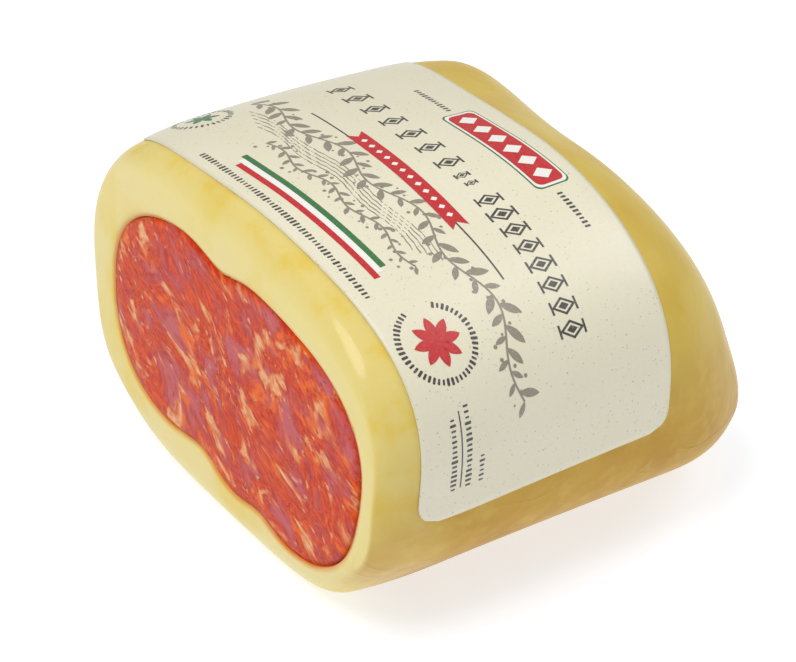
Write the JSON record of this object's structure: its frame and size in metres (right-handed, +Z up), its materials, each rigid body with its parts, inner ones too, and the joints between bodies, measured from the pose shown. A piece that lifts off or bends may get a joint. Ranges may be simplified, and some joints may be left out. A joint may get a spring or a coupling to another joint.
{
  "type": "spicy provola cheese with a salami core",
  "caption": "Cut block of pale stretched-curd cheese round a flattened spicy salami core, with a wrapped paper label.",
  "frame": {"origin": "under the middle of the block's box, on the surface it rests on", "axes": "+X to the right across the cut face, +Y along the loaf away from the cut face, +Z up"},
  "size_m": [0.1036, 0.108, 0.0686],
  "materials": {
    "cheese": "pale yellow stretched-curd cheese, moist and smooth, ochre on its sides, under tight clear film",
    "salami": "cut face of coarse chilli salami, red-orange paste with mauve lean and cream fat, oily",
    "label": null
  },
  "bodies": {
    "root": {"cheese": "cheese", "salami": "salami", "label": "label"}
  },
  "joints": []
}
